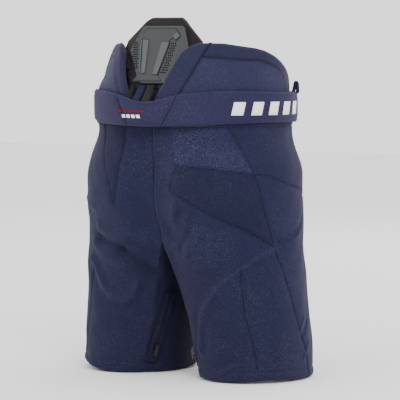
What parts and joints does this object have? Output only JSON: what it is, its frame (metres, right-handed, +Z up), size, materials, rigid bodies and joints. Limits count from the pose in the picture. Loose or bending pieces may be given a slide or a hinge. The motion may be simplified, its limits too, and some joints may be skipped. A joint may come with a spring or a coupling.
{
  "type": "hockey pants",
  "caption": "Padded ice hockey pants with raised kidney wings, hinged spine guard, wrap belt, laced fly and zipped inner legs.",
  "frame": {"origin": "middle of the footprint's box, on the surface that the two hems stand on", "axes": "+Z up, -Y the front of the garment, +X the wearer's left"},
  "size_m": [0.4276, 0.3034, 0.6136],
  "materials": {
    "shell_cloth": "matte woven nylon",
    "wing_cloth": "coarse woven nylon, slight sheen",
    "lining_cloth": "soft knitted lining",
    "foam": "closed-cell foam",
    "pad_plastic": "moulded polyethylene",
    "guard_cloth": "felt-faced foam",
    "guard_plastic": "moulded, satin, with a fine grain",
    "belt_cloth": "woven nylon over foam",
    "webbing": "woven polyester tape",
    "button_plastic": "moulded nylon",
    "metal": "plated, satin",
    "lace": "flat braid"
  },
  "bodies": {
    "hips": {"seat_shell_left": "shell_cloth", "seat_shell_right": "shell_cloth", "seat_lining_left": "lining_cloth", "seat_lining_right": "lining_cloth", "crotch_gusset": "lining_cloth", "hip_pad_foam_left": "foam", "hip_pad_foam_right": "foam", "hip_pad_cap_left": "pad_plastic", "hip_pad_cap_right": "pad_plastic", "tailbone_cap": "pad_plastic", "tailbone_foam": "foam", "wing_back_strip_left": "shell_cloth", "wing_back_strip_right": "shell_cloth", "wing_cover_left": "wing_cloth", "wing_cover_right": "wing_cloth", "wing_foam_left": "foam", "wing_foam_right": "foam", "belt_back": "belt_cloth", "belt_side_left": "belt_cloth", "belt_side_right": "belt_cloth", "belt_loop_left": "webbing", "belt_loop_right": "webbing", "guard_strap_left": "webbing", "guard_strap_middle": "webbing", "guard_strap_right": "webbing", "waistband_left": "belt_cloth", "waistband_right": "belt_cloth", "suspender_button_1_left": "button_plastic", "suspender_button_1_right": "button_plastic", "suspender_button_2_left": "button_plastic", "suspender_button_2_right": "button_plastic", "suspender_button_3_left": "button_plastic", "suspender_button_3_right": "button_plastic", "fly_tongue": "lining_cloth", "fly_lace": "lace", "eyelet_1_left": "metal", "eyelet_1_right": "metal", "eyelet_2_left": "metal", "eyelet_2_right": "metal"},
    "spine_guard": {"guard_foam": "guard_cloth", "guard_plate": "guard_plastic"},
    "belt_tab": {"belt_tab": "belt_cloth"},
    "leg_left": {"leg_shell_left": "shell_cloth", "leg_lining_left": "lining_cloth", "thigh_pad_foam_left": "foam", "thigh_pad_cap_left": "pad_plastic", "hem_facing_left": "shell_cloth", "zipper_tape_left": "webbing"},
    "leg_right": {"leg_shell_right": "shell_cloth", "leg_lining_right": "lining_cloth", "thigh_pad_foam_right": "foam", "thigh_pad_cap_right": "pad_plastic", "hem_facing_right": "shell_cloth", "zipper_tape_right": "webbing"},
    "slider_left": {"zipper_slider_left": "metal"},
    "slider_right": {"zipper_slider_right": "metal"},
    "pull_left": {"zipper_pull_left": "metal"},
    "pull_right": {"zipper_pull_right": "metal"}
  },
  "joints": [
    {"name": "hip_swing_left", "type": "hinge", "parent": "hips", "child": "leg_left", "pos_m": [0.107, 0.00125, 0.306], "axis": [-1, 0, 0], "range_deg": [-10, 30]},
    {"name": "hip_swing_right", "type": "hinge", "parent": "hips", "child": "leg_right", "pos_m": [-0.107, 0.00125, 0.306], "axis": [-1, 0, 0], "range_deg": [-10, 30]},
    {"name": "guard_tilt", "type": "hinge", "parent": "hips", "child": "spine_guard", "pos_m": [0, 0.12325, 0.491], "axis": [1, 0, 0], "range_deg": [-3, 20]},
    {"name": "belt_tab_peel", "type": "hinge", "parent": "hips", "child": "belt_tab", "pos_m": [0.0642, -0.13995, 0.457], "axis": [0, 0, 1], "range_deg": [0, 100]},
    {"name": "zip_slide_left", "type": "slide", "parent": "leg_left", "child": "slider_left", "axis": [-0.2619, -0.093, 0.9606], "range_m": [0, 0.088]},
    {"name": "zip_slide_right", "type": "slide", "parent": "leg_right", "child": "slider_right", "axis": [0.2619, -0.093, 0.9606], "range_m": [0, 0.088]},
    {"name": "zip_pull_flip_left", "type": "hinge", "parent": "slider_left", "child": "pull_left", "pos_m": [0.03528, 0.06028, 0.04569], "axis": [0.5168, 0.8271, 0.221], "range_deg": [0, 150]},
    {"name": "zip_pull_flip_right", "type": "hinge", "parent": "slider_right", "child": "pull_right", "pos_m": [-0.03528, 0.06028, 0.04569], "axis": [0.5168, -0.8271, -0.221], "range_deg": [0, 150]}
  ]
}
